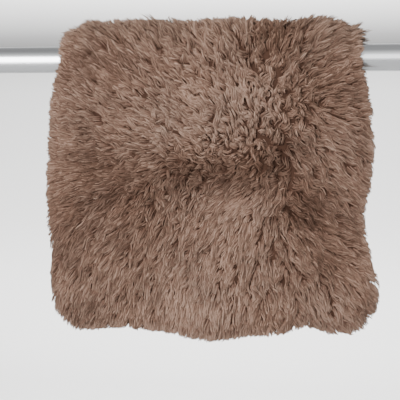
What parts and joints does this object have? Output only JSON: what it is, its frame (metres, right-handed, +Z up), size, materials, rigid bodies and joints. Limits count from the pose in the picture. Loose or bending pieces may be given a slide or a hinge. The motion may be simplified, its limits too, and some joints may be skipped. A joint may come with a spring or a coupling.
{
  "type": "sheepskin hung over a rod",
  "caption": "Long-wool brown sheepskin folded in half over a plain round metal rod, wool side out, with a lumpy fleece and loose pointed locks all round its edge.",
  "frame": {"origin": "centre of the flat left end of the rod, as seen from the front", "axes": "+X along the rod to its right end, -Y towards the front flap and its viewer, +Z up"},
  "size_m": [0.74, 0.1266, 0.5227],
  "materials": {
    "wool": "long soft taupe brown sheep's wool on its tanned hide",
    "rod_metal": "satin"
  },
  "bodies": {
    "root": {"rod": "rod_metal", "skin": "wool", "edge_locks_bend_left": "wool", "edge_locks_bend_right": "wool", "edge_locks_front_left": "wool", "edge_locks_front_right": "wool", "edge_locks_front_hem": "wool", "edge_locks_back_left": "wool", "edge_locks_back_right": "wool", "edge_locks_back_hem": "wool"}
  },
  "joints": []
}
